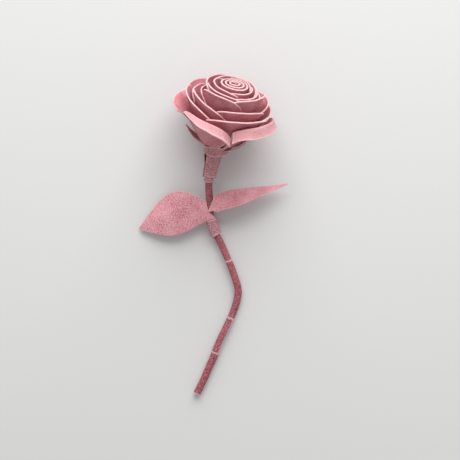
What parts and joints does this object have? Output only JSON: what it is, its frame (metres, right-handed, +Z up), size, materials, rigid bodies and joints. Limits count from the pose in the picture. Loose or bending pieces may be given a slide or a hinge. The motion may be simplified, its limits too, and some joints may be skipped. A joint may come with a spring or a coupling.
{
  "type": "paper rose",
  "caption": "Decorative rose of thick crinkled paper: nested petals on a bent, paper-wrapped wire stem with leaves, lying on its back.",
  "frame": {"origin": "on the floor, under the middle of the bounding box of the lying rose", "axes": "+Y along the stem towards the bloom, +X to the rose's right as its face is seen from above, +Z up"},
  "size_m": [0.13, 0.278, 0.0817],
  "materials": {
    "bud": "matte, grainy",
    "petal": "matte, grainy",
    "calyx": "matte, grainy",
    "stem": "matte, grainy",
    "leaf": "matte, grainy",
    "wire": "drawn"
  },
  "bodies": {
    "root": {"bud_roll": "bud", "petal_heart_1": "petal", "petal_heart_2": "petal", "petal_heart_3": "petal", "petal_inner_1": "petal", "petal_inner_2": "petal", "petal_inner_3": "petal", "petal_inner_4": "petal", "petal_front_1": "petal", "petal_front_2": "petal", "petal_front_3": "petal", "petal_front_4": "petal", "petal_front_5": "petal", "petal_middle_1": "petal", "petal_middle_2": "petal", "petal_middle_3": "petal", "petal_middle_4": "petal", "petal_middle_5": "petal", "petal_outer_1": "petal", "petal_outer_2": "petal", "petal_outer_3": "petal", "petal_outer_4": "petal", "petal_outer_5": "petal", "petal_spread_1": "petal", "petal_spread_2": "petal", "petal_spread_3": "petal", "petal_spread_4": "petal", "petal_spread_5": "petal", "sepal_1": "calyx", "sepal_2": "calyx", "sepal_3": "calyx", "sepal_4": "calyx", "base_band": "calyx", "collar_wrap": "calyx", "leaf_binding": "calyx", "stem_sleeve_neck": "stem", "stem_sleeve_upper": "stem", "stem_sleeve_middle": "stem", "stem_sleeve_foot": "stem", "stem_wire": "wire", "leaf_left": "leaf", "leaf_right": "leaf"}
  },
  "joints": []
}
